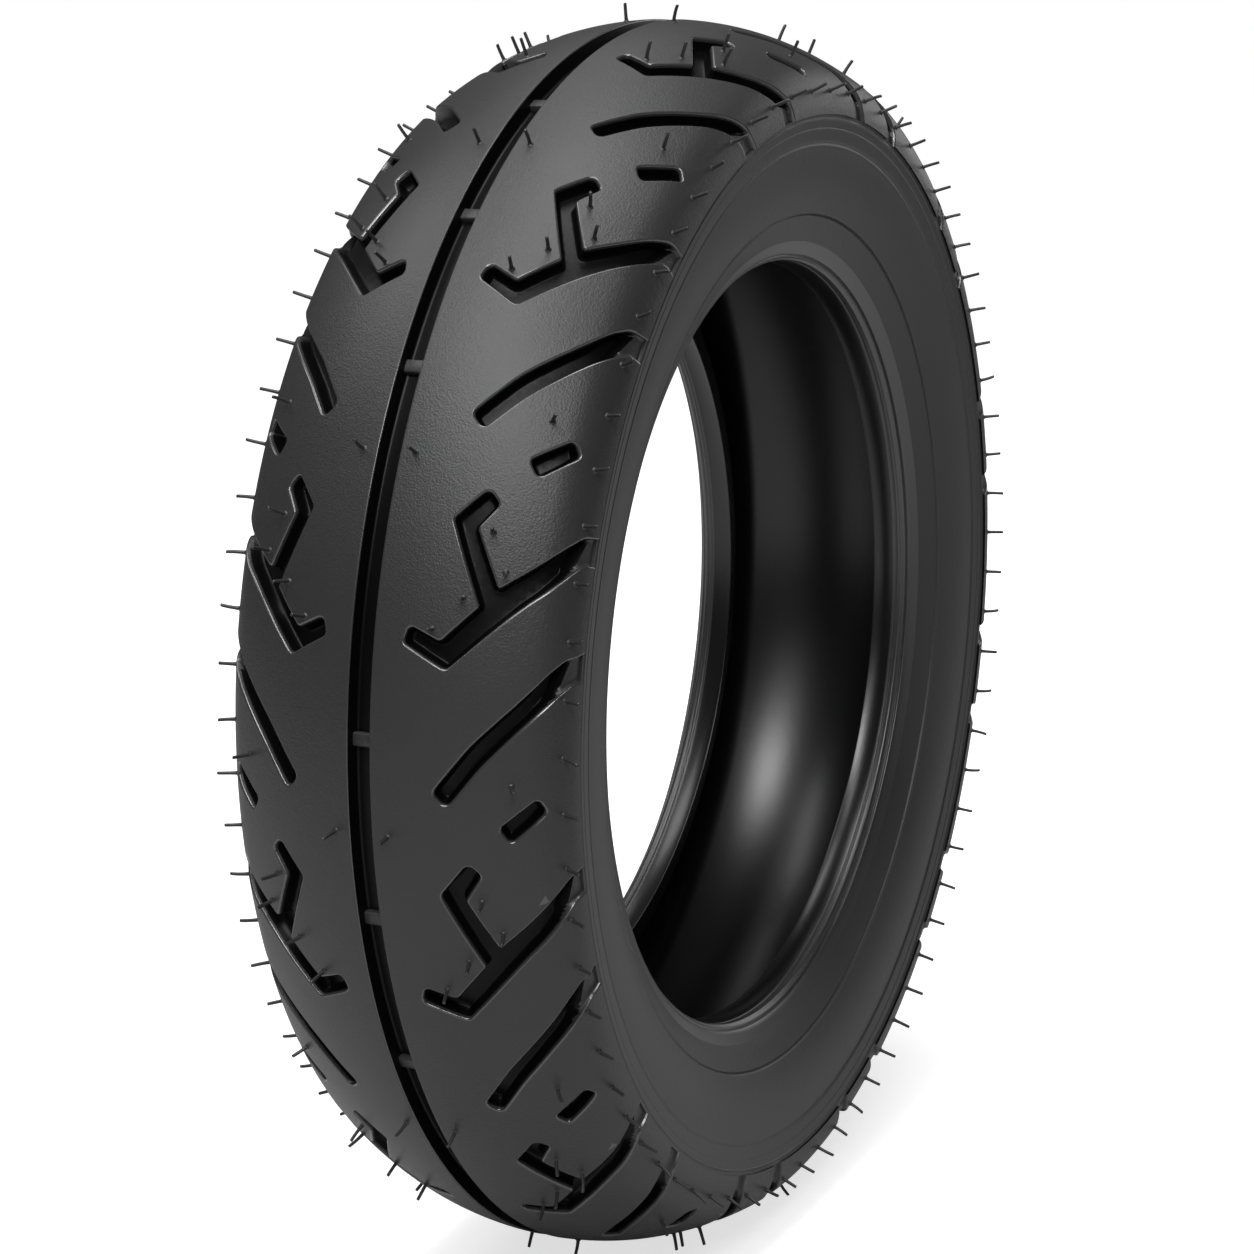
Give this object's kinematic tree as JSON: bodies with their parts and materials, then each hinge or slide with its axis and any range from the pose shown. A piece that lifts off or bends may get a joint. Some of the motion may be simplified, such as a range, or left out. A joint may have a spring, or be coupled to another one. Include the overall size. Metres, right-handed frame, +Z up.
{
  "type": "motorcycle tire",
  "caption": "Tubeless motorcycle tire with a rounded tread of mirrored hooked and slanted grooves, a centre groove, smooth sidewalls and wired beads.",
  "frame": {"origin": "centre of the wheel, on its axle and in the tread's centre plane", "axes": "+Y along the axle towards the left bead; +Z up; the grooves run the same way round on both halves of the tread"},
  "size_m": [0.4996, 0.1426, 0.4932],
  "materials": {
    "tread": "matt, fine grain",
    "tread_base": "matt",
    "sidewall": "matt, smooth",
    "cord_fabric": "rubberised cord",
    "liner": "smooth, slight gloss",
    "bead_rubber": "matt",
    "bead_steel": "bronze-coated steel wire",
    "chafer": "smooth, satin",
    "spew": "matt"
  },
  "bodies": {
    "root": {"tread_cap": "tread", "tread_base": "tread_base", "breaker_ply_outer": "cord_fabric", "breaker_ply_inner": "cord_fabric", "carcass_ply_outer": "cord_fabric", "carcass_ply_inner": "cord_fabric", "inner_liner": "liner", "sidewall_left": "sidewall", "apex_left": "bead_rubber", "bead_wires_left": "bead_steel", "bead_insulation_left": "bead_rubber", "chafer_left": "chafer", "vent_spews_shoulder_left": "spew", "vent_spews_pitch_ends_left": "spew", "vent_spews_blocks_left": "spew", "vent_spews_crown_left": "spew", "sidewall_right": "sidewall", "apex_right": "bead_rubber", "bead_wires_right": "bead_steel", "bead_insulation_right": "bead_rubber", "chafer_right": "chafer", "vent_spews_shoulder_right": "spew", "vent_spews_pitch_ends_right": "spew", "vent_spews_blocks_right": "spew", "vent_spews_crown_right": "spew"}
  },
  "joints": []
}
